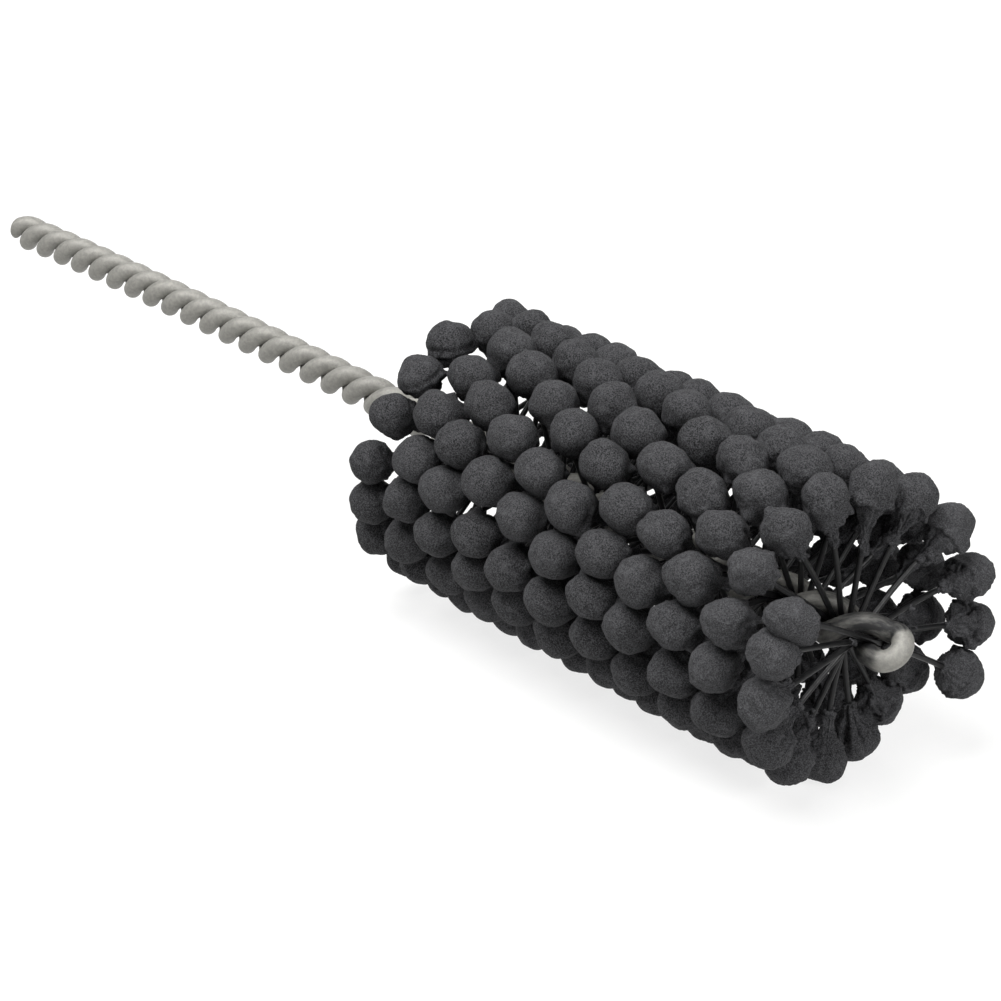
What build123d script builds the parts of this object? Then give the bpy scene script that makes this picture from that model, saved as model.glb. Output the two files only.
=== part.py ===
"""Flexible ball hone.

One steel wire is folded in half, and its two legs are twisted together.
Nylon filaments are laid across between the legs, so the twist fans them out
into a double helix, and each end of each filament carries a globule of
abrasive compound. The fold of the wire is the loop at the nose, and the cut
ends of its legs are the end of the shank.

The tool's axis is +X, from the cut end of the shank at the origin to the
nose. +Z is up, with the tool lying on its globules.
"""

import os
import random
from math import cos, pi, radians, sin, sqrt, tan

from build123d import *

# Core wire, in millimetres
overall_length = 207.0
wire_diameter = 2.9
strand_clearance = 0.05  # between the two legs in the shank
shank_pitch = 10.68  # axial length of one full turn of the legs
blend_length = 2.9  # over which the legs close up behind the brush
loop_radius = 2.15  # of the middle of the wire, round the fold at the nose
end_cut_angle = 14.0  # of the sheared end of the shank, in degrees

# Filaments
filament_diameter = 0.9
filament_clearance = 0.04  # between neighbours along the axis
filament_count = 89
filament_turn = 21.45  # from one filament to the next, in degrees
first_filament_angle = -29.95  # about the axis, from +Y towards +Z
nose_setback = 5.8  # from the tip of the loop to the first filament
grip_clearance = 0.02  # between a filament and each leg
filament_scatter = 0.35  # either way, in degrees about the axis

# Globules
brush_diameter = 43.6
globule_diameter = 6.6
globule_scatter = 0.15  # either way, on each diameter
end_globule_diameter = 6.2  # in the last row, next to the shank
filament_seat = 1.0  # how far a filament runs past a globule's centre
bond_line = 0.02  # between a filament and the compound round it
collar_wall = 0.3  # compound round the filament where the neck ends
neck_radius = 1.5  # of the hollow curve from a globule into its neck
collar_length = 0.35
nose_neck_radius = 3.6  # the first globules are drawn out into long necks
nose_collar_length = 1.6
nose_filaments = 12  # over which the long necks fade out

wire_radius = wire_diameter / 2
filament_radius = filament_diameter / 2
shank_helix_radius = (wire_diameter + strand_clearance) / 2
brush_helix_radius = wire_radius + filament_radius + grip_clearance
filament_spacing = filament_diameter + filament_clearance
brush_pitch = filament_spacing * 360 / filament_turn
globule_circle_radius = (brush_diameter - globule_diameter) / 2

loop_centre_x = overall_length - loop_radius - wire_radius
first_filament_x = overall_length - nose_setback
last_filament_x = first_filament_x - filament_spacing * (filament_count - 1)
brush_front_x = first_filament_x + filament_radius
brush_rear_x = last_filament_x - filament_radius
shank_end_x = brush_rear_x - blend_length
row_turn = 180  # of the double helix in one row of globules, in degrees


def filament_x(index):
    """Place of a filament along the axis, counted from the nose."""
    return first_filament_x - filament_spacing * index


def leg_angle(x):
    """Angle of the first leg at x in the brush, square to the filaments."""
    index = (first_filament_x - x) / filament_spacing
    return first_filament_angle + filament_turn * index + 90


def axis_point(x, radius, angle):
    """Point at a radius and an angle about the tool's axis."""
    return Vector(x, radius * cos(radians(angle)), radius * sin(radians(angle)))


def helix_heading(radius, pitch, angle):
    """Direction of a left-hand helix towards the nose, at an angle."""
    across = Vector(0, sin(radians(angle)), -cos(radians(angle))) * radius
    return (Vector(pitch / (2 * pi), 0, 0) + across).normalized()


def helix_path(x_start, x_end, radius, pitch, start_angle):
    """Left-hand helix about the tool's axis from x_start to x_end."""
    seat = Plane(
        origin=(x_start, 0, 0),
        x_dir=axis_point(0, 1, start_angle),
        z_dir=(1, 0, 0),
    )
    return seat.location * Helix(pitch, x_end - x_start, radius, lefthand=True)


def wire_along(path, frenet=False):
    """Round wire swept along a path."""
    section = Plane(origin=path @ 0, z_dir=path % 0) * Circle(wire_radius)
    return sweep(section, path=path, is_frenet=frenet)


def blend_start_angle():
    """Angle of the first leg where the shank meets the blend."""
    mean_rate = (360 / shank_pitch + 360 / brush_pitch) / 2
    return leg_angle(brush_rear_x) + blend_length * mean_rate


def make_leg(turned):
    """One leg of the wire, from the shank's end to the front of the brush."""
    shank_rate = 360 / shank_pitch
    brush_rate = 360 / brush_pitch
    rear_angle = leg_angle(brush_rear_x) + turned
    blend_angle = blend_start_angle() + turned

    # The shank runs a little past the origin, to be cut to length there
    spare = wire_diameter
    start_angle = blend_angle + (shank_end_x + spare) * shank_rate
    shank = helix_path(
        -spare, shank_end_x, shank_helix_radius, shank_pitch, start_angle
    )

    # The legs close up and the twist tightens where the filaments end
    blend_points = []
    steps = 6
    for step in range(steps + 1):
        part = step / steps
        rate = shank_rate + (brush_rate - shank_rate) * part / 2
        ease = part * part * (3 - 2 * part)
        radius = shank_helix_radius + (brush_helix_radius - shank_helix_radius) * ease
        x = shank_end_x + blend_length * part
        angle = blend_angle - blend_length * part * rate
        blend_points.append(axis_point(x, radius, angle))
    blend = Spline(
        blend_points,
        tangents=[
            helix_heading(shank_helix_radius, shank_pitch, blend_angle),
            helix_heading(brush_helix_radius, brush_pitch, rear_angle),
        ],
    )

    brush = helix_path(
        brush_rear_x, brush_front_x, brush_helix_radius, brush_pitch, rear_angle
    )
    return [wire_along(shank, True), wire_along(blend), wire_along(brush, True)]


def make_loop():
    """The fold of the wire at the nose, with the legs untwisting into it."""
    run = loop_centre_x - brush_front_x
    front_angle = leg_angle(brush_front_x)
    rate = 360 / brush_pitch

    def run_points(turned):
        # The twist fades out as the legs spread to the width of the loop
        points = []
        steps = 4
        for step in range(steps + 1):
            part = step / steps
            ease = part * part * (3 - 2 * part)
            radius = brush_helix_radius + (loop_radius - brush_helix_radius) * ease
            angle = front_angle - run * rate * (1 - (1 - part) ** 3) / 3 + turned
            points.append(axis_point(brush_front_x + run * part, radius, angle))
        return points

    heading = helix_heading(brush_helix_radius, brush_pitch, front_angle)
    back_heading = helix_heading(brush_helix_radius, brush_pitch, front_angle + 180)
    first_points = run_points(0)
    second_points = run_points(180)[::-1]
    tip = Vector(loop_centre_x + loop_radius, 0, 0)
    path = Wire(
        [
            Spline(first_points, tangents=[heading, Vector(1, 0, 0)]),
            ThreePointArc(first_points[-1], tip, second_points[0]),
            Spline(second_points, tangents=[Vector(-1, 0, 0), back_heading * -1]),
        ]
    )
    return wire_along(path)


def make_core_wire():
    """The whole folded and twisted wire, sheared off at the shank's end."""
    spans = make_leg(0) + make_leg(180) + [make_loop()]
    core = spans[0].fuse(*spans[1:])

    # The shear leans towards the first leg, whose outermost edge is at the origin
    lean = radians(end_cut_angle)
    end_angle = blend_start_angle() + shank_end_x * 360 / shank_pitch
    outer_radius = shank_helix_radius + wire_radius
    normal = axis_point(cos(lean), sin(lean), end_angle)
    shear = Plane(origin=(outer_radius * tan(lean), 0, 0), z_dir=normal)
    return split(core, bisect_by=shear, keep=Keep.TOP)


def filament_seat_plane(index, angle):
    """Plane on the axis whose normal runs out along a filament."""
    return Plane(
        origin=(filament_x(index), 0, 0),
        x_dir=(1, 0, 0),
        z_dir=axis_point(0, 1, angle),
    )


def make_filament(index, angle):
    """Straight nylon filament through the axis, held between the legs."""
    half_length = globule_circle_radius + filament_seat
    stem = Cylinder(filament_radius, 2 * half_length)
    return filament_seat_plane(index, angle).location * stem


def nose_share(index):
    """1 at the nose, fading to 0 over the first filaments."""
    return max(0.0, 1 - index / nose_filaments)


def make_globule(index, angle, diameter):
    """Globule with a pocket for its filament and a neck that runs down it."""
    radius = diameter / 2
    centre = globule_circle_radius
    pocket = filament_radius + bond_line
    pocket_end = centre + filament_seat + bond_line
    collar = pocket + collar_wall
    share = nose_share(index)
    fillet = neck_radius + (nose_neck_radius - neck_radius) * share
    length = collar_length + (nose_collar_length - collar_length) * share

    # Centre of the hollow curve that touches the ball and the collar
    drop = sqrt((radius + fillet) ** 2 - (collar + fillet) ** 2)
    reach = radius / (radius + fillet)
    meet = Vector((collar + fillet) * reach, 0, centre - drop * reach)
    hollow = Vector(collar + fillet, 0, centre - drop)
    across = (meet - hollow).normalized() + Vector(-1, 0, 0)
    neck_middle = hollow + across.normalized() * fillet

    top = Vector(0, 0, centre + radius)
    side = Vector(radius, 0, centre)
    collar_top = Vector(collar, 0, centre - drop)
    collar_end = Vector(collar, 0, centre - drop - length)
    pocket_mouth = Vector(pocket, 0, centre - drop - length)
    pocket_corner = Vector(pocket, 0, pocket_end)
    pocket_floor = Vector(0, 0, pocket_end)
    outline = Wire(
        [
            ThreePointArc(top, side, meet),
            ThreePointArc(meet, neck_middle, collar_top),
            Line(collar_top, collar_end),
            Line(collar_end, pocket_mouth),
            Line(pocket_mouth, pocket_corner),
            Line(pocket_corner, pocket_floor),
            Line(pocket_floor, top),
        ]
    )
    ball = revolve(make_face(outline.edges()), axis=Axis.Z)
    return filament_seat_plane(index, angle).location * ball


def export_group(name, solids):
    """Write separate solids as one node."""
    export_step(Compound(children=solids), f"parts/{name}.step")


def main():
    os.makedirs("parts", exist_ok=True)
    export_step(make_core_wire(), "parts/core_wire.step")

    scatter = random.Random(11)
    rows = {}
    for index in range(filament_count):
        row = int(index * filament_turn / row_turn) + 1
        last_row = (filament_count - index) * filament_turn <= row_turn
        angle = first_filament_angle + filament_turn * index
        angle += scatter.uniform(-filament_scatter, filament_scatter)
        diameter = end_globule_diameter if last_row else globule_diameter
        sizes = [
            diameter + scatter.uniform(-globule_scatter, globule_scatter)
            for _ in range(2)
        ]
        pieces = rows.setdefault(row, ([], [], []))
        pieces[0].append(make_filament(index, angle))
        pieces[1].append(make_globule(index, angle, sizes[0]))
        pieces[2].append(make_globule(index, angle + 180, sizes[1]))

    for row, (filaments, near_globules, far_globules) in rows.items():
        export_group(f"filament_row_{row:02d}", filaments)
        export_group(f"globule_row_{row:02d}a", near_globules)
        export_group(f"globule_row_{row:02d}b", far_globules)


main()
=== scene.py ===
import math
import random

import bmesh
import bpy
from mathutils import Matrix, Vector, noise


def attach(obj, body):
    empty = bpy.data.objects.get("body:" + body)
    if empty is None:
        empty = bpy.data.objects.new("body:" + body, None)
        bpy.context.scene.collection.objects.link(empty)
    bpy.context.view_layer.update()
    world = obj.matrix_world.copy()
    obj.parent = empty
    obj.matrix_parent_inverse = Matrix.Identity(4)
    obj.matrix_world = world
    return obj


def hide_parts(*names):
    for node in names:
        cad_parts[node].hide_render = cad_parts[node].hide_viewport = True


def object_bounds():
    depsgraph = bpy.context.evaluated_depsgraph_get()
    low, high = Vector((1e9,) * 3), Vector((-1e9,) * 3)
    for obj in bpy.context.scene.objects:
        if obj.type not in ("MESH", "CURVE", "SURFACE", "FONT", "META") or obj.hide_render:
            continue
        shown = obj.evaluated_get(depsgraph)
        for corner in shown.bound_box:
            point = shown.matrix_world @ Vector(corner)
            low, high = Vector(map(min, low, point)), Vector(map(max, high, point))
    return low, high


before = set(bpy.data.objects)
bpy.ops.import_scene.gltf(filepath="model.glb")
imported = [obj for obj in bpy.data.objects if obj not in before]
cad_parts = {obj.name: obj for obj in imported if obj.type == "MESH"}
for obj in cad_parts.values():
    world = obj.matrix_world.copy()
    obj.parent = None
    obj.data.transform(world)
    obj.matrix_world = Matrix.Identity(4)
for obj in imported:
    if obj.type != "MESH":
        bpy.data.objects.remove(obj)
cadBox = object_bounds()
mm = 0.001


# Small helpers

def linearColour(hexCode):
    # sRGB hex to the linear values that a shader takes
    channels = [int(hexCode[i:i + 2], 16) / 255 for i in (1, 3, 5)]
    return [c / 12.92 if c <= 0.04045 else ((c + 0.055) / 1.055) ** 2.4 for c in channels] + [1]


def addNode(tree, kind, inputs, **settings):
    # adds a node; an input is a value, or the output that feeds it
    node = tree.nodes.new(kind)
    for name, value in settings.items():
        setattr(node, name, value)
    for name, value in inputs.items():
        if isinstance(value, bpy.types.NodeSocket):
            tree.links.new(value, node.inputs[name])
        else:
            node.inputs[name].default_value = value
    return node


def newMaterial(name):
    material = bpy.data.materials.new(name)
    material.use_nodes = True
    material.node_tree.nodes.clear()
    return material, material.node_tree


def fadeIn(low, high, value):
    # 0 below low, 1 above high, and smooth between
    part = min(1, max(0, (value - low) / (high - low)))
    return part * part * (3 - 2 * part)


def aboutAxis(x, radius, angle):
    # point at a radius and an angle in degrees about the tool's axis
    turn = math.radians(angle)
    return Vector((x, radius * math.cos(turn), radius * math.sin(turn)))


def addPiece(name, bm, material, slotName, *nodes):
    # a finished piece: its mesh in place, smooth, riding with the tool
    mesh = bpy.data.meshes.new(name)
    bm.to_mesh(mesh)
    bm.free()
    mesh.shade_smooth()
    mesh.materials.append(material)
    piece = bpy.data.objects.new(name, mesh)
    bpy.context.scene.collection.objects.link(piece)
    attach(piece, "root")
    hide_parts(*nodes)
    return piece


# Materials

def makeCompound():
    # silicon carbide grit in a resin bond, dipped and cured: dull charcoal, dry, with fine pale grains
    grain = {"grit": 0.19, "cluster": 0.8, "patch": 1.5}  # mm; real grit is 0.08, too fine to show
    material, tree = newMaterial("siliconCarbideCompound")
    place = addNode(tree, "ShaderNodeTexCoord", {}).outputs["Object"]
    grit = addNode(tree, "ShaderNodeTexNoise", {"Vector": place, "Scale": 1 / (grain["grit"] * mm),
                                                "Detail": 4, "Roughness": 0.8})
    cluster = addNode(tree, "ShaderNodeTexNoise", {"Vector": place, "Scale": 1 / (grain["cluster"] * mm),
                                                   "Detail": 3, "Roughness": 0.6})
    patch = addNode(tree, "ShaderNodeTexNoise", {"Vector": place, "Scale": 1 / (grain["patch"] * mm),
                                                 "Detail": 5, "Roughness": 0.65})
    tone = addNode(tree, "ShaderNodeAttribute", {}, attribute_name="tone")
    speck = addNode(tree, "ShaderNodeMapRange", {"Value": grit.outputs["Fac"],
                                                 "From Min": 0.44, "From Max": 0.59})
    base = addNode(tree, "ShaderNodeMix", {0: speck.outputs["Result"], 6: linearColour("#060607"),
                                           7: linearColour("#434345")}, data_type="RGBA")
    patchFade = addNode(tree, "ShaderNodeMapRange", {"Value": patch.outputs["Fac"], "From Min": 0.53,
                                                     "From Max": 0.7, "To Max": 0.36})
    dusty = addNode(tree, "ShaderNodeMath", {0: patchFade.outputs["Result"], 1: tone.outputs["Fac"]},
                    operation="ADD", use_clamp=True)
    colour = addNode(tree, "ShaderNodeMix", {0: dusty.outputs["Value"], 6: base.outputs[2],
                                             7: linearColour("#4c4c4e")}, data_type="RGBA")
    coarse = addNode(tree, "ShaderNodeBump", {"Height": cluster.outputs["Fac"], "Strength": 0.5,
                                              "Distance": 0.2 * mm})
    fine = addNode(tree, "ShaderNodeBump", {"Height": grit.outputs["Fac"], "Strength": 1,
                                            "Distance": 0.1 * mm, "Normal": coarse.outputs["Normal"]})
    shader = addNode(tree, "ShaderNodeBsdfPrincipled", {
        "Base Color": colour.outputs[2], "Roughness": 0.92, "IOR": 1.5,
        "Specular IOR Level": 0.2, "Normal": fine.outputs["Normal"]})
    addNode(tree, "ShaderNodeOutputMaterial", {"Surface": shader.outputs["BSDF"]})
    return material


def makeNylon():
    # extruded black nylon monofilament: smooth with a soft gloss, under a film of grey dust
    grain = {"dust": 1.1}  # mm
    material, tree = newMaterial("blackNylonFilament")
    place = addNode(tree, "ShaderNodeTexCoord", {}).outputs["Object"]
    dust = addNode(tree, "ShaderNodeTexNoise", {"Vector": place, "Scale": 1 / (grain["dust"] * mm),
                                                "Detail": 5, "Roughness": 0.7})
    dustFade = addNode(tree, "ShaderNodeMapRange", {"Value": dust.outputs["Fac"], "From Min": 0.42,
                                                    "From Max": 0.75, "To Max": 0.5})
    colour = addNode(tree, "ShaderNodeMix", {0: dustFade.outputs["Result"], 6: linearColour("#020203"),
                                             7: linearColour("#141415")}, data_type="RGBA")
    rough = addNode(tree, "ShaderNodeMapRange", {"Value": dust.outputs["Fac"], "From Min": 0.35,
                                                 "From Max": 0.7, "To Min": 0.3, "To Max": 0.6})
    bump = addNode(tree, "ShaderNodeBump", {"Height": dust.outputs["Fac"], "Strength": 0.25,
                                            "Distance": 0.05 * mm})
    shader = addNode(tree, "ShaderNodeBsdfPrincipled", {
        "Base Color": colour.outputs[2], "Roughness": rough.outputs["Result"], "IOR": 1.53,
        "Specular IOR Level": 0.27, "Normal": bump.outputs["Normal"]})
    addNode(tree, "ShaderNodeOutputMaterial", {"Surface": shader.outputs["BSDF"]})
    return material


def makeSteel():
    # cold-drawn spring steel wire: satin grey with fine lines along it, stained dark by the compound
    grain = {"lines": 0.25, "mottle": 0.55, "stain": 1.1}  # mm
    material, tree = newMaterial("drawnSpringSteel")
    along = addNode(tree, "ShaderNodeUVMap", {}, uv_map="wireLength").outputs["UV"]
    place = addNode(tree, "ShaderNodeTexCoord", {}).outputs["Object"]
    stretched = addNode(tree, "ShaderNodeMapping", {"Vector": along, "Scale": (1, 0.06, 1)})
    lines = addNode(tree, "ShaderNodeTexNoise", {"Vector": stretched.outputs["Vector"],
                                                 "Scale": 1 / (grain["lines"] * mm), "Detail": 3})
    mottle = addNode(tree, "ShaderNodeTexNoise", {"Vector": place, "Scale": 1 / (grain["mottle"] * mm),
                                                  "Detail": 4, "Roughness": 0.7})
    streaks = addNode(tree, "ShaderNodeMapping", {"Vector": along, "Scale": (1, 0.3, 1)})
    stain = addNode(tree, "ShaderNodeTexNoise", {"Vector": streaks.outputs["Vector"],
                                                 "Scale": 1 / (grain["stain"] * mm), "Detail": 4,
                                                 "Roughness": 0.6})
    grime = addNode(tree, "ShaderNodeAttribute", {}, attribute_name="grime")
    mottled = addNode(tree, "ShaderNodeMapRange", {"Value": mottle.outputs["Fac"], "From Min": 0.36,
                                                   "From Max": 0.64})
    satin = addNode(tree, "ShaderNodeMix", {0: mottled.outputs["Result"], 6: linearColour("#686763"),
                                            7: linearColour("#8e8c86")}, data_type="RGBA")
    drawn = addNode(tree, "ShaderNodeMix", {0: lines.outputs["Fac"], 6: satin.outputs[2],
                                            7: linearColour("#7d7c77")}, data_type="RGBA")
    stainEdge = addNode(tree, "ShaderNodeMath", {0: grime.outputs["Fac"], 1: stain.outputs["Fac"]},
                        operation="ADD")
    stained = addNode(tree, "ShaderNodeMapRange", {"Value": stainEdge.outputs["Value"],
                                                   "From Min": 0.75, "From Max": 1.25})
    colour = addNode(tree, "ShaderNodeMix", {0: stained.outputs["Result"], 6: drawn.outputs[2],
                                             7: linearColour("#202021")}, data_type="RGBA")
    rough = addNode(tree, "ShaderNodeMapRange", {"Value": mottle.outputs["Fac"], "To Min": 0.55,
                                                 "To Max": 0.7})
    coarse = addNode(tree, "ShaderNodeBump", {"Height": mottle.outputs["Fac"], "Strength": 0.6,
                                              "Distance": 0.08 * mm})
    fine = addNode(tree, "ShaderNodeBump", {"Height": lines.outputs["Fac"], "Strength": 0.3,
                                            "Distance": 0.02 * mm, "Normal": coarse.outputs["Normal"]})
    shader = addNode(tree, "ShaderNodeBsdfPrincipled", {
        "Base Color": colour.outputs[2], "Metallic": 0.4, "Roughness": rough.outputs["Result"],
        "Normal": fine.outputs["Normal"]})
    addNode(tree, "ShaderNodeOutputMaterial", {"Surface": shader.outputs["BSDF"]})
    return material


# The core wire: one wire folded in half, its two legs twisted together

wire = {  # mm and degrees, from the shank's cut end to the nose
    "length": 207.0, "diameter": 2.9, "sides": 24, "step": 0.5, "bends": 24,
    "shankRadius": 1.475, "shankPitch": 10.68, "blend": 2.9, "brushRadius": 1.92, "loopRadius": 2.15,
    "filaments": 89, "firstFilament": 201.2, "firstAngle": -29.95, "spacing": 0.94, "turn": 21.45,
    "grip": 0.45, "endLean": 5.0, "endTurn": 0.0, "burr": 0.12, "burrWidth": 0.156, "spare": 2.9,
    "droop": 0.93, "droopLength": 45.0, "rise": 0.2, "riseStart": (30, 90), "riseEnd": (104, 118),
}
wire["twist"] = wire["turn"] / wire["spacing"]
wire["loopX"] = wire["length"] - wire["loopRadius"] - wire["diameter"] / 2
wire["frontX"] = wire["firstFilament"] + wire["grip"]
wire["rearX"] = wire["firstFilament"] - wire["spacing"] * (wire["filaments"] - 1) - wire["grip"]


def wireCentre(x):
    # distance from the axis and angle of the first leg, all along the tool
    twist = wire["twist"]
    shankTwist = 360 / wire["shankPitch"]
    shankX = wire["rearX"] - wire["blend"]
    angle = wire["firstAngle"] + 90 + twist * (wire["firstFilament"] - x)
    if x > wire["frontX"]:
        run = wire["loopX"] - wire["frontX"]
        part = (x - wire["frontX"]) / run
        angle += twist * run * (part - (1 - (1 - part) ** 3) / 3)
        return wire["brushRadius"] + (wire["loopRadius"] - wire["brushRadius"]) * fadeIn(0, 1, part), angle
    if x > wire["rearX"]:
        return wire["brushRadius"], angle
    blendAngle = wire["firstAngle"] + 90 + twist * (wire["firstFilament"] - wire["rearX"])
    blendAngle += wire["blend"] * (shankTwist + twist) / 2
    if x < shankX:
        return wire["shankRadius"], blendAngle + shankTwist * (shankX - x)
    part = (x - shankX) / wire["blend"]
    radius = wire["shankRadius"] + (wire["brushRadius"] - wire["shankRadius"]) * fadeIn(0, 1, part)
    return radius, blendAngle - (x - shankX) * (shankTwist + (twist - shankTwist) * part / 2)


def wirePoint(x, turned):
    # the middle of a leg; the shank is bent down a little towards its cut end
    radius, angle = wireCentre(x)
    droop = wire["droop"] * max(0, 1 - x / wire["droopLength"]) ** 2
    rise = wire["rise"] * fadeIn(*wire["riseStart"], x) * (1 - fadeIn(*wire["riseEnd"], x))
    return (aboutAxis(x, radius, angle + turned) + Vector((0, 0, rise - droop))) * mm


def wireStations():
    # points down the middle of the wire: out along one leg, round the loop and back
    run = wire["loopX"] + wire["spare"]
    count = round(run / wire["step"])
    out = []
    back = []
    for i in range(count):
        x = run * i / count - wire["spare"]
        out.append(wirePoint(x, 0))
        back.insert(0, wirePoint(x, 180))
    radius, angle = wireCentre(wire["loopX"])
    loop = []
    for i in range(wire["bends"] + 1):
        turn = math.pi * i / wire["bends"]
        x = wire["loopX"] + radius * math.sin(turn)
        loop.append(aboutAxis(x, radius * math.cos(turn), angle) * mm)
    return out, loop, back


wireStain = {  # how strong, and where it sets in: mm along the tool, and the share of the way round the loop
    "brush": 0.42, "brushStart": (116, 126), "nose": 0.28, "noseStart": (188, 201),
    "wornStart": (0.12, 0.26), "wornEnd": (0.68, 1.05),
}


def wireGrime(x, bend):
    # a clean shank, dusty in the brush, dark legs at the nose and a tip that is worn bright
    dusty = wireStain["brush"] * fadeIn(*wireStain["brushStart"], x)
    dusty += wireStain["nose"] * fadeIn(*wireStain["noseStart"], x)
    worn = fadeIn(*wireStain["wornStart"], bend) * (1 - fadeIn(*wireStain["wornEnd"], bend))
    return dusty * (1 - worn)


def frameAt(points, i, side):
    # place and turn of a tube's section at a point of its path, carried on from the last one's side
    ahead = (points[min(i + 1, len(points) - 1)] - points[max(i - 1, 0)]).normalized()
    side = (side - ahead * side.dot(ahead)).normalized()
    turn = Matrix((side, ahead.cross(side), ahead)).transposed().to_4x4()
    return Matrix.Translation(points[i]) @ turn, side


def extendTube(bm, edges, place, newPlace):
    # draws a tube's open end out to its next section
    made = bmesh.ops.extrude_edge_only(bm, edges=edges)["geom"]
    ring = [e for e in made if isinstance(e, bmesh.types.BMVert)]
    bmesh.ops.transform(bm, matrix=newPlace @ place.inverted(), verts=ring)
    return ring, [e for e in made if isinstance(e, bmesh.types.BMEdge)]


def makeCoreWire(material):
    out, loop, back = wireStations()
    stations = out + loop + back
    bm = bmesh.new()
    around = bm.verts.layers.float.new("around")
    along = bm.verts.layers.float.new("along")
    grime = bm.verts.layers.float.new("grime")
    uv = bm.loops.layers.uv.new("wireLength")

    place, side = frameAt(stations, 0, Vector((0, 1, 0)))
    ring = bmesh.ops.create_circle(bm, segments=wire["sides"], radius=wire["diameter"] / 2 * mm,
                                   matrix=place)["verts"]
    for i, v in enumerate(ring):
        v[around] = i / wire["sides"]
    edges = list(bm.edges)
    travelled = 0
    for i in range(1, len(stations)):
        newPlace, side = frameAt(stations, i, side)
        ring, edges = extendTube(bm, edges, place, newPlace)
        place = newPlace
        travelled += (stations[i] - stations[i - 1]).length
        bend = (i - len(out)) / wire["bends"]
        for v in ring:
            v[along] = travelled
            v[grime] = wireGrime(stations[i].x / mm, bend)
    shearEnds(bm)
    bmesh.ops.recalc_face_normals(bm, faces=bm.faces)
    girth = math.pi * wire["diameter"] * mm
    for face in bm.faces:
        wraps = max(corner.vert[around] for corner in face.loops) > 0.9  # the last strip, back to the seam
        for corner in face.loops:
            share = corner.vert[around]
            if wraps and share < 0.5:
                share += 1
            corner[uv].uv = (share * girth, corner.vert[along])
    return addPiece("coreWire", bm, material, "spring_steel_wire", "core_wire")


def shearEnds(bm):
    # one flat shear through both legs, with its outermost edge at the origin
    lean = math.radians(wire["endLean"])
    normal = aboutAxis(math.cos(lean), math.sin(lean), wire["endTurn"])
    reach = (wire["shankRadius"] + wire["diameter"] / 2) * math.tan(lean) + wire["burr"]
    origin = Vector((reach, 0, -wire["droop"])) * mm
    parts = bm.verts[:] + bm.edges[:] + bm.faces[:]
    cut = bmesh.ops.bisect_plane(bm, geom=parts, dist=0.01 * mm, plane_co=origin, plane_no=normal,
                                 clear_inner=True)["geom_cut"]
    rims = [e for e in cut if isinstance(e, bmesh.types.BMEdge)]
    ends = bmesh.ops.edgeloop_fill(bm, edges=rims)["faces"]
    bmesh.ops.recalc_face_normals(bm, faces=bm.faces)
    bmesh.ops.inset_individual(bm, faces=ends, thickness=wire["burrWidth"] * mm, depth=wire["burr"] * mm)


# Where the frame holds each filament and each globule

search = {  # mm and degrees, well under the distance from one filament or globule of a row to the next
    "rim": 0.2, "filamentTurn": 8, "filamentReach": 2, "globuleTurn": 9, "globuleReach": 4,
}


def apart(angle, other):
    # degrees between two angles, either way round
    return abs((angle - other + 180) % 360 - 180)


def angleOf(p):
    return math.degrees(math.atan2(p.z, p.y))


def rowNames(kind):
    return sorted(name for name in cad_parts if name.startswith(kind))


def readFilaments(nodeName):
    # the middle of each end face of a row's filaments
    points = [v.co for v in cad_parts[nodeName].data.vertices]
    reach = max(math.hypot(p.y, p.z) for p in points)
    groups = []
    for p in points:
        if math.hypot(p.y, p.z) < reach - search["rim"] * mm:
            continue
        for found in groups:
            near = abs(p.x - found[0].x) < search["filamentReach"] * mm
            if near and apart(angleOf(p), angleOf(found[0])) < search["filamentTurn"]:
                found.append(p)
                break
        else:
            groups.append([p])
    ends = []
    for found in groups:
        low = Vector([min(p[i] for p in found) for i in range(3)])
        high = Vector([max(p[i] for p in found) for i in range(3)])
        ends.append((low + high) / 2)
    return ends


def readGlobules(nodeName, ends):
    # radius of the ball on each filament's end, and its distance from the axis, in mm
    points = [v.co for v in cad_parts[nodeName].data.vertices]
    spots = [(angleOf(p), p) for p in points]
    sizes = []
    for end in ends:
        own = angleOf(end)
        near = [p for angle, p in spots if apart(angle, own) < search["globuleTurn"]
                and abs(p.x - end.x) < search["globuleReach"] * mm]
        width = max(p.x for p in near) - min(p.x for p in near)
        reach = max(math.hypot(p.y, p.z) for p in near)
        sizes.append((width / 2 / mm, (reach - width / 2) / mm))
    return sizes


def readBrush():
    # every filament by its number from the nose, with its two ends
    brush = {}
    for row in rowNames("filament_row_"):
        number = row[-2:]
        sides = {"a": [], "b": []}
        for end in readFilaments(row):
            index = round((wire["firstFilament"] - end.x / mm) / wire["spacing"])
            expected = wire["firstAngle"] + wire["turn"] * index
            sides["a" if apart(angleOf(end), expected) < 90 else "b"].append((index, end))
        for side, found in sides.items():
            sizes = readGlobules(f"globule_row_{number}{side}", [end for _, end in found])
            for (index, end), (radius, distance) in zip(found, sizes):
                brush[side, index] = {"row": number, "end": end / mm, "radius": radius,
                                      "distance": distance}
    return brush


# How each end leans and how its globule set, given one by one for those that show most

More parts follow.
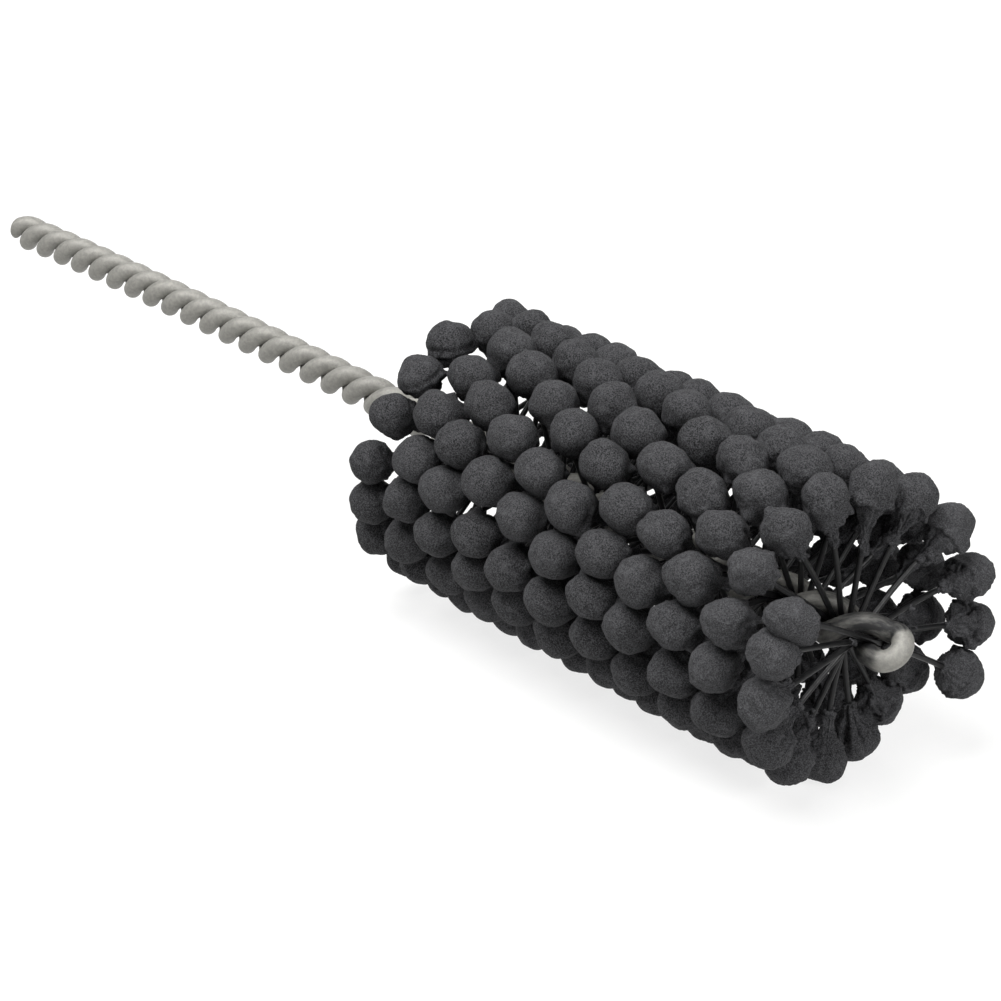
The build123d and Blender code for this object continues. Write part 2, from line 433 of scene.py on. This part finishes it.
filament = {"sides": 10, "steps": 16, "radius": 0.41, "seat": 1.0, "bow": 0.2, "scatter": 0.45}  # mm
leans = {  # mm about the axis and along it
    "a": {0: (-0.6, 0.5), 1: (-0.9, 0.7), 2: (-1.1, 0.9), 3: (0, 0.7), 4: (0.4, 0), 5: (0.1, -0.8),
          6: (0.4, -0.8), 7: (0.6, 0), 8: (0.1, 0), 9: (0.3, 0.4), 10: (0, -0.1), 11: (1, -0.7),
          23: (-1, 0.4), 24: (-0.6, 1.2), 25: (-0.9, 0.5), 26: (-0.8, 0.1), 27: (-0.9, -0.2),
          39: (-0.8, -0.6), 40: (0.4, -0.3), 60: (1.1, 0.1),
          74: (0.3, 0.6), 75: (0.4, 0.9), 76: (0.4, 1.3), 77: (-0.2, 0.8)},
    "b": {0: (0.5, 1.2), 1: (-1.4, 0.9), 2: (-1.1, 0.9), 3: (0.4, -0.4), 4: (0.2, -0.3),
          5: (1.6, -0.7), 6: (1.4, -1), 7: (1, -1.3),
          31: (1, 0.3), 32: (0.8, 0.3), 33: (1, 0.2), 34: (0.7, 0.2),
          48: (0.5, -0.6), 49: (0.3, -0.3), 50: (0.1, -0.4), 52: (0.9, -0.4),
          82: (-0.6, -0.9), 83: (-0.7, 1), 84: (-1, 1.2), 85: (-0.3, 0.3), 86: (-1, 0.7),
          87: (-1.2, -0.2)},
}
# rings and sides are the mesh's; fillet and collar are the hollow neck's radius and its straight end
# lump, dent and grit are relief from coarse to fine; the smooth cap ends at ledge, give or take wave
# lip, lipWidth and tuck are its rolled edge, and groove the hollow behind it, most of it towards facing,
# with spread as the share elsewhere; past the ledge the skin lies a step deeper and is torn, tear per mm
# crease and pleat are folds; flat and stretch shorten and lengthen the inner half; wide, girth and squash
# are its widths along the tool and about it; tone is how pale it is; nubs are spare compound
ordinary = {  # mm, and degrees from the globule's outer tip
    "rings": 30, "sides": 48, "fillet": 2.5, "collar": 1.4, "lump": 0.42, "dent": 0.15, "grit": 0.05,
    "ledge": 112, "wave": 26, "lip": 0.12, "lipWidth": 8, "groove": 0.08, "tuck": 0.3, "facing": 0,
    "spread": 0.2, "step": 0.12, "torn": 0.7, "tear": 0.55, "crease": 0, "pleat": 0, "flat": 0,
    "stretch": 0, "wide": 1, "girth": 1, "squash": 0, "tone": 0.1, "nubs": (),
}
waves = {  # noise scales: per mm, and on a circle of radius 1 round the globule for ledge, lip and pleat
    "lump": 0.3, "dent": 0.85, "grit": 2.6, "crease": 0.4, "ledge": 1.3, "lip": 2.3, "pleat": 1.4,
}
skin = {  # spans in degrees from the tip, or past the ledge for inner; rise and cover are in mm
    "neck": (125, 150), "inner": (-2, 3), "pleated": (60, 110), "capped": (0, 60), "grooveWidth": 5,
    "creaseSharp": 10, "pleatSharp": 5, "meanRough": 0.32, "rise": 0.85, "cover": 0.06,
}
neckEnd = {"wall": 0.4, "taper": 0.8, "depth": 0.12}  # mm of compound round the filament, and how it closes
zones = {"nose": 26, "clumps": 30, "full": (8, 46), "shank": 75}  # filaments, counted from the nose
folded = {"rings": 48, "sides": 72, "ledge": 92, "wave": 22, "lip": 0.36, "lipWidth": 9, "groove": 0.2,
          "facing": 60, "spread": 0.5, "step": 0.1, "wide": 1}
acorn = {"rings": 54, "sides": 84, "fillet": 0.9, "collar": 0.2, "lump": 0.36, "dent": 0.18, "grit": 0.13,
         "ledge": 100, "wave": 24, "lip": 0.36, "lipWidth": 6, "groove": 0.06, "tuck": 0.6, "spread": 1,
         "step": 0.45, "torn": 1, "tear": 0.42, "crease": 0.2, "pleat": 0.3, "flat": 0.08, "wide": 1,
         "tone": 0.26}
drop = dict(acorn, fillet=3.4, collar=1.2, ledge=122, wave=34, lip=0.14, step=0.12, torn=0.6, flat=0,
            lump=0.5, crease=0.1, pleat=0.35, tone=0.12)
hooded = dict(drop, ledge=116, wave=10, lip=0.25, lipWidth=8, tuck=0.8, groove=0, step=0.2, torn=0.35,
              tear=0.3, tone=0.26)
slim = dict(drop, fillet=1.7, collar=0.9)
skirted = dict(drop, fillet=2.4, collar=0.7, ledge=126, lip=0.3, torn=0.8)
button = dict(acorn, squash=0.2, ledge=112, wave=20, lip=0.2, torn=0.8, step=0.15, crease=0, lump=0.5,
              dent=0.22, tone=0.22)
looks = {
    "a": {0: dict(acorn, ledge=98, wave=16, flat=0.22, torn=0.6, lip=0.3, step=0.25, crease=0.1),
          1: dict(acorn, ledge=100, torn=1.5, lip=0.4, step=0.5, squash=0.08, pleat=0.5,
                  nubs=((84, 190, 0.4, 0.5),)),
          2: dict(acorn, ledge=112, wave=30, crease=0.4, stretch=0.6, squash=0.1, flat=0, torn=0.4,
                  step=0.15, lip=0.2, pleat=0.1), 3: hooded,
          4: dict(drop, girth=0.88, stretch=1, ledge=112, step=0.3, lip=0.3, torn=0.9,
                  nubs=((118, -60, 0.8, 0.5),)),
          5: dict(drop, girth=0.93, stretch=1.8, torn=0.8, lip=0.3, ledge=112), 6: dict(skirted, girth=0.91),
          7: dict(skirted, squash=0.04, girth=0.95, lip=0.2, fillet=1.8, torn=0.6,
                  nubs=((41, 166, 0.7, 0.75), (75, 175, 0.6, 0.3))),
          8: dict(button, squash=0.03, fillet=1.8), 9: dict(button, squash=0.04, wide=1.08, fillet=2),
          10: dict(button, squash=0, fillet=2)},
    "b": {0: button, 1: dict(button, squash=0.02, fillet=1.6),
          2: dict(button, squash=0.03, fillet=1.6, lip=0.3),
          3: dict(slim, stretch=0.5), 4: dict(slim, stretch=0.8, torn=0.8, girth=0.95, dent=0.25),
          5: dict(slim, stretch=1.1, girth=0.92),
          6: dict(slim, stretch=0.9, ledge=110, pleat=0.8, nubs=((100, -30, 0.35, 0.6),)),
          7: dict(acorn, ledge=104, torn=1.1, fillet=1.8, flat=0), 8: acorn, 9: acorn, 10: acorn,
          82: dict(folded, ledge=104, girth=1.04, nubs=((104, 49, 0.5, 1.4),)),
          83: dict(folded, ledge=80, girth=1.04, nubs=((108, 50, 0.4, 0.7),)),
          84: dict(folded, ledge=110), 85: dict(folded, ledge=118, lip=0.15)},
}
clumps = {  # mm from the axis to each clump dried on a filament, and its size
    ("a", 0): ((2.3, 0.75),), ("a", 1): ((8.2, 0.6), (7.4, 0.42)),
    ("a", 2): ((14.2, 0.85), (13.2, 0.45), (8.3, 0.5)),
    ("a", 3): ((14.3, 1.25), (12.6, 0.6), (11.6, 0.45)), ("a", 4): ((12.9, 0.95), (12, 0.65), (11, 0.4)),
    ("a", 5): ((11.9, 0.62), (11, 0.45), (3.4, 0.35)), ("a", 6): ((13.4, 0.55), (12.6, 0.45), (11.8, 0.4)),
    ("a", 7): ((14.6, 0.5),), ("b", 0): ((14.2, 0.6),), ("b", 1): ((14.3, 0.6), (3, 0.5)),
    ("b", 3): ((12.2, 0.6),), ("b", 4): ((12.6, 0.8), (11.5, 0.45)), ("b", 5): ((12.2, 0.7), (10.9, 0.4)),
    ("b", 6): ((13.4, 0.7),), ("b", 7): ((15.2, 0.7), (14.4, 0.45)), ("b", 9): ((13, 0.5),),
}


def variedLook(side, index, chance):
    # each globule is a little different: its shape, its lip and its nubs of spare compound
    look = dict(ordinary)
    look["lip"] = chance.uniform(0.05, 0.5)
    look["facing"] = chance.uniform(0, 360)
    look["squash"] = chance.uniform(-0.03, 0.05)
    look["stretch"] = chance.uniform(0.3, 1.4)
    look["wide"] = chance.uniform(1.05, 1.14)
    look["tone"] = chance.uniform(0.04, 0.16)
    nubs = []
    for _ in range(chance.randint(1, 4)):
        nubs.append((chance.uniform(98, 134), chance.uniform(0, 360),
                     chance.uniform(0.4, 0.9), chance.uniform(0.3, 1)))
    look["nubs"] = nubs
    if zones["full"][0] < index < zones["full"][1]:
        look["wide"] += 0.06  # the fullest ones, which press on their neighbours
    if index > zones["shank"]:
        look.update(ledge=chance.uniform(90, 118), groove=0.2, wide=1.02, fillet=1.5)
    elif index < zones["nose"]:
        look.update(drop, collar=1.4, fillet=2.6, torn=0.8, wide=look["wide"])
    look.update(looks[side].get(index, {}))
    return look


def endPath(holder, side, index, chance):
    # a filament's run from the axis to its end: where the globule sits and which way it points
    end = holder["end"]
    base = Vector((0, end.y, end.z)).normalized()
    sideways = Vector((1, 0, 0)).cross(base)
    scatter = filament["scatter"]
    drift = (chance.uniform(-scatter, scatter), chance.uniform(-scatter, scatter))
    about, along = leans[side].get(index, drift)
    offset = sideways * about + Vector((along, 0, 0))
    distance = holder["distance"]
    offset -= base * offset.length_squared / distance / 2
    bow = sideways * chance.uniform(-1, 1) + Vector((chance.uniform(-1, 1), 0, 0))
    root = Vector((end.x, 0, 0))
    centre = root + base * distance + offset
    heading = (base + offset * 2 / distance).normalized()
    run = []
    for i in range(filament["steps"] + 1):
        part = i / filament["steps"]
        swell = bow * filament["bow"] * math.sin(math.pi * part) * fadeIn(0.1, 0.4, part)
        run.append(root + base * distance * part + offset * part * part + swell)
    run.append(centre + heading * filament["seat"])
    return centre, heading, run


def spinProfile(radius, look):
    # outline of a globule from its tip round the ball, into its hollow neck and down its collar
    collarRadius = filament["radius"] + neckEnd["wall"]
    fillet = look["fillet"]
    neckZ = -math.sqrt((radius + fillet) ** 2 - (collarRadius + fillet) ** 2)
    meet = math.atan2(collarRadius + fillet, neckZ)
    outline = []
    for i in range(look["rings"] + 1):
        turn = meet * i / look["rings"]
        outline.append((radius * math.sin(turn), radius * math.cos(turn)))
    bends = look["rings"] // 3
    start = math.atan2(-neckZ, -(collarRadius + fillet))
    for i in range(1, bends + 1):
        turn = start + (math.pi - start) * i / bends
        outline.append((collarRadius + fillet + fillet * math.cos(turn), neckZ + fillet * math.sin(turn)))
    steps = max(2, bends // 2)
    for i in range(1, steps + 1):
        outline.append((collarRadius, neckZ - look["collar"] * i / steps))
    outline.append((collarRadius * neckEnd["taper"], outline[-1][1] - neckEnd["depth"]))
    outline.append((0, outline[-1][1]))
    return outline


def aimed(turn, about):
    # unit vector at an angle from the globule's tip and an angle about it
    width = math.sin(math.radians(turn))
    about = math.radians(about)
    return Vector((width * math.cos(about), width * math.sin(about), math.cos(math.radians(turn))))


def sculptGlobule(bm, radius, look, seed):
    # the compound as it dried: a smooth cap, a rolled lip, and a rougher side towards the axis
    shift = Vector((seed * 1.37, seed * 2.11, seed * 3.73))
    nubs = [(aimed(turn, about), size / radius, height) for turn, about, size, height in look["nubs"]]
    down = Vector((0, 0, -1))
    for v in bm.verts:
        p = v.co.copy()
        width = math.hypot(p.x, p.y)
        across = Vector((p.x, p.y, 0)).normalized()
        outward = p.normalized()
        turn = math.degrees(math.atan2(width, p.z))
        neck = fadeIn(*skin["neck"], turn)
        push = (outward * (1 - neck) + across * neck).normalized()
        past = turn - look["ledge"] - look["wave"] * noise.noise(across * waves["ledge"] + shift)
        inner = fadeIn(*skin["inner"], past)
        facing = math.atan2(p.y, p.x) - math.radians(look["facing"])
        share = look["spread"] + (1 - look["spread"]) * max(0, math.cos(facing)) ** 2
        share *= 0.6 + 1.6 * abs(noise.noise(across * waves["lip"] - shift))
        lipRise = look["lip"] * share * math.exp(-((past + 1) / look["lipWidth"]) ** 2)
        move = look["lump"] * noise.noise(p * waves["lump"] + shift)
        move += look["dent"] * noise.noise(p * waves["dent"] + shift)
        move += look["grit"] * (0.6 + 1.6 * inner) * noise.noise(p * waves["grit"] + shift)
        behind = (past + look["lipWidth"] * 1.6) / skin["grooveWidth"]
        move -= look["groove"] * share * math.exp(-behind ** 2)
        move -= look["step"] * inner
        rough = noise.turbulence(p * look["tear"] + shift, 2, True) - skin["meanRough"]
        move += look["torn"] * inner * rough
        if look["crease"]:
            fold = abs(noise.noise(p * waves["crease"] + shift * 2))
            move -= look["crease"] * (0.3 + 0.7 * inner) * max(0, 1 - fold * skin["creaseSharp"])
        pleat = abs(noise.noise(across * waves["pleat"] + shift * 3))
        move -= look["pleat"] * fadeIn(*skin["pleated"], turn) * max(0, 1 - pleat * skin["pleatSharp"])
        for aim, size, height in nubs:
            gap = (outward - aim).length / size
            if gap < 3:
                move += height * math.exp(-gap * gap)
        # the tip reaches no further than the CAD's, and compound covers the filament all the way down
        move = min(move, skin["rise"] * fadeIn(*skin["capped"], turn))
        if turn > 90:
            move = max(move, filament["radius"] + skin["cover"] - width)
        v.co += push * (move + lipRise) + down * (lipRise * look["tuck"])
        if v.co.z < 0:
            longer = 1 + look["stretch"] / radius * min(1, -v.co.z / radius) / 1.6
            v.co.z *= longer * (1 - look["flat"])
    wide = look["wide"] * look["girth"] * (1 + look["squash"] / 3)
    squash = Matrix.Diagonal((wide, look["girth"] * (1 - look["squash"]), 1, 1))
    bmesh.ops.transform(bm, matrix=squash, verts=bm.verts)


def makeGlobule(row, radius, centre, heading, look, seed):
    # one globule, spun, sculpted and put on its filament's end, added to its row's mesh
    bm = bmesh.new()
    outline = [bm.verts.new((x, 0, z)) for x, z in spinProfile(radius, look)]
    edges = [bm.edges.new(pair) for pair in zip(outline, outline[1:])]
    bmesh.ops.spin(bm, geom=outline + edges, cent=(0, 0, 0), axis=(0, 0, 1), angle=math.tau,
                   steps=look["sides"], use_merge=True)
    bmesh.ops.remove_doubles(bm, verts=bm.verts, dist=0.0001)
    bmesh.ops.recalc_face_normals(bm, faces=bm.faces)
    sculptGlobule(bm, radius, look, seed)
    ahead = Vector((1, 0, 0))
    ahead = (ahead - heading * ahead.dot(heading)).normalized()
    turn = Matrix((ahead, heading.cross(ahead), heading)).transposed().to_4x4()
    place = Matrix.Scale(mm, 4) @ Matrix.Translation(centre) @ turn
    bmesh.ops.transform(bm, matrix=place, verts=bm.verts)
    setTone(bm, bm.verts, look["tone"])
    mesh = bpy.data.meshes.new("globule")
    bm.to_mesh(mesh)
    bm.free()
    row.from_mesh(mesh)
    bpy.data.meshes.remove(mesh)


def setTone(bm, verts, value):
    # how pale and dusty the compound is there
    tone = bm.verts.layers.float.get("tone") or bm.verts.layers.float.new("tone")
    for v in verts:
        v[tone] = value


def addClump(row, place, size, chance):
    # a crumb of compound that dried on a filament: a small ball pushed out of round
    matrix = Matrix.Translation(place * mm)
    made = bmesh.ops.create_icosphere(row, subdivisions=3 if size > 0.5 else 2, radius=size * mm,
                                      matrix=matrix)
    shift = Vector((chance.uniform(0, 90), chance.uniform(0, 90), 0))
    for v in made["verts"]:
        out = v.co / mm - place
        swell = 1.1 * noise.noise(out * (1.1 / size) + shift) + 0.3 * noise.noise(out * 4 + shift)
        v.co += out * swell * mm
    setTone(row, made["verts"], chance.uniform(0.05, 0.25))


def clumpPlaces(side, index, chance):
    # where compound dried on this filament: listed where it shows, and by chance near other necks
    if (side, index) in clumps:
        return clumps[side, index]
    if index > zones["clumps"] or chance.random() < 0.35:
        return ()
    return ((chance.uniform(11.5, 14.5), chance.uniform(0.35, 0.75)),)


def makeFilament(row, runs):
    # one filament along its whole run, from the end in one globule to the end in the other
    path = [p * mm for p in runs["b"][:0:-1] + runs["a"]]
    place, side = frameAt(path, 0, (path[1] - path[0]).normalized().orthogonal())
    ring = bmesh.ops.create_circle(row, segments=filament["sides"], cap_ends=True,
                                   radius=filament["radius"] * mm, matrix=place)["verts"]
    edges = list(dict.fromkeys(e for v in ring for e in v.link_edges))
    for i in range(1, len(path)):
        newPlace, side = frameAt(path, i, side)
        _, edges = extendTube(row, edges, place, newPlace)
        place = newPlace
    bmesh.ops.contextual_create(row, geom=edges)


def makeBrush(nylon, compound):
    brush = readBrush()
    print("brush read:", len(brush), "ends")
    chance = random.Random(4)
    rows = {}
    for index in range(wire["filaments"]):
        runs = {}
        for side in "ab":
            holder = brush[side, index]
            look = variedLook(side, index, chance)
            centre, heading, run = endPath(holder, side, index, chance)
            runs[side] = run
            name = f"globule_row_{holder['row']}{side}"
            row = rows.setdefault(name, bmesh.new())
            makeGlobule(row, holder["radius"], centre, heading, look, chance.uniform(0, 40))
            for distance, size in clumpPlaces(side, index, chance):
                station = distance / holder["distance"] * filament["steps"]
                place = run[int(station)].lerp(run[int(station) + 1], station % 1)
                sway = Vector([chance.uniform(-0.4, 0.4) for _ in range(3)])
                addClump(row, place + sway * size, size, chance)
        name = f"filament_row_{holder['row']}"
        makeFilament(rows.setdefault(name, bmesh.new()), runs)
    for name, row in rows.items():
        kind, _, number = name.split("_")
        if kind == "filament":
            bmesh.ops.recalc_face_normals(row, faces=row.faces)
            addPiece("filamentRow" + number, row, nylon, "nylon_filament", name)
        else:
            addPiece("globuleRow" + number, row, compound, "abrasive_compound", name)


# Stage, light and camera

floorSheet = {"half": 20, "below": 0.05}  # half its width in m, and mm under the lowest globule
lights = {  # place and target in m, width in m, power in W
    "keyLight": ((0.05, -0.32, 0.93), (0.14, 0, 0), 0.9, 21),
    "noseLight": ((1, 0, 0.42), (0.2, 0, 0), 0.4, 6),
    "backLight": ((-0.5, 0.7, 0.55), (0.14, 0, 0), 0.5, 4),
}
photoView = {  # mm
    "place": (435.85, -257.29, 179.14), "target": (119.1, 7.3, -11.9), "lens": 110.97, "sensor": 36,
}


def makeStage():
    # a photographer's light table: a matte white sheet lit from behind, so that shadows on it are faint
    material, tree = newMaterial("litWhiteAcrylic")
    shader = addNode(tree, "ShaderNodeBsdfPrincipled", {
        "Base Color": linearColour("#767675"), "Roughness": 0.9, "Specular IOR Level": 0.1,
        "Emission Color": linearColour("#ffffff"), "Emission Strength": 0.79})
    addNode(tree, "ShaderNodeOutputMaterial", {"Surface": shader.outputs["BSDF"]})
    bm = bmesh.new()
    under = Matrix.Translation((0, 0, cadBox[0][2] - floorSheet["below"] * mm))
    bmesh.ops.create_grid(bm, x_segments=2, y_segments=2, size=floorSheet["half"], matrix=under)
    mesh = bpy.data.meshes.new("floor")
    bm.to_mesh(mesh)
    bm.free()
    mesh.materials.append(material)
    floor = bpy.data.objects.new("floor", mesh)
    bpy.context.scene.collection.objects.link(floor)


def addLight(name, place, target, size, power):
    light = bpy.data.lights.new(name, "AREA")
    light.shape = "DISK"
    light.size = size
    light.energy = power
    lamp = bpy.data.objects.new(name, light)
    lamp.location = place
    lamp.rotation_euler = (Vector(target) - Vector(place)).to_track_quat("-Z", "Y").to_euler()
    bpy.context.scene.collection.objects.link(lamp)


def makeLights():
    world = bpy.data.worlds.new("studio")
    bpy.context.scene.world = world
    world.use_nodes = True
    tree = world.node_tree
    direction = addNode(tree, "ShaderNodeTexCoord", {}).outputs["Generated"]
    height = addNode(tree, "ShaderNodeSeparateXYZ", {"Vector": direction}).outputs["Z"]
    # soft fill from above, and a pale horizon that the floor runs out to in low views
    glow = addNode(tree, "ShaderNodeMapRange", {"Value": height, "From Max": 0.12, "To Min": 0.8,
                                                "To Max": 0.19}, interpolation_type="SMOOTHSTEP")
    tree.nodes["Background"].inputs["Color"].default_value = linearColour("#ffffff")
    tree.links.new(glow.outputs["Result"], tree.nodes["Background"].inputs["Strength"])
    for name, (place, target, size, power) in lights.items():
        addLight(name, place, target, size, power)
    bpy.context.scene.view_settings.view_transform = "Standard"  # so that white paper comes out white


def makeCamera():
    data = bpy.data.cameras.new("photoView")
    data.lens = photoView["lens"]
    data.sensor_width = photoView["sensor"]
    data.clip_start = 0.01
    camera = bpy.data.objects.new("photoView", data)
    camera.location = Vector(photoView["place"]) * mm
    ahead = Vector(photoView["target"]) - Vector(photoView["place"])
    camera.rotation_euler = ahead.to_track_quat("-Z", "Y").to_euler()
    bpy.context.scene.collection.objects.link(camera)
    bpy.context.scene.camera = camera


makeCamera()
makeLights()
makeStage()
print("stage, light and camera set")
makeCoreWire(makeSteel())
print("core wire made")
makeBrush(makeNylon(), makeCompound())
print("brush made")
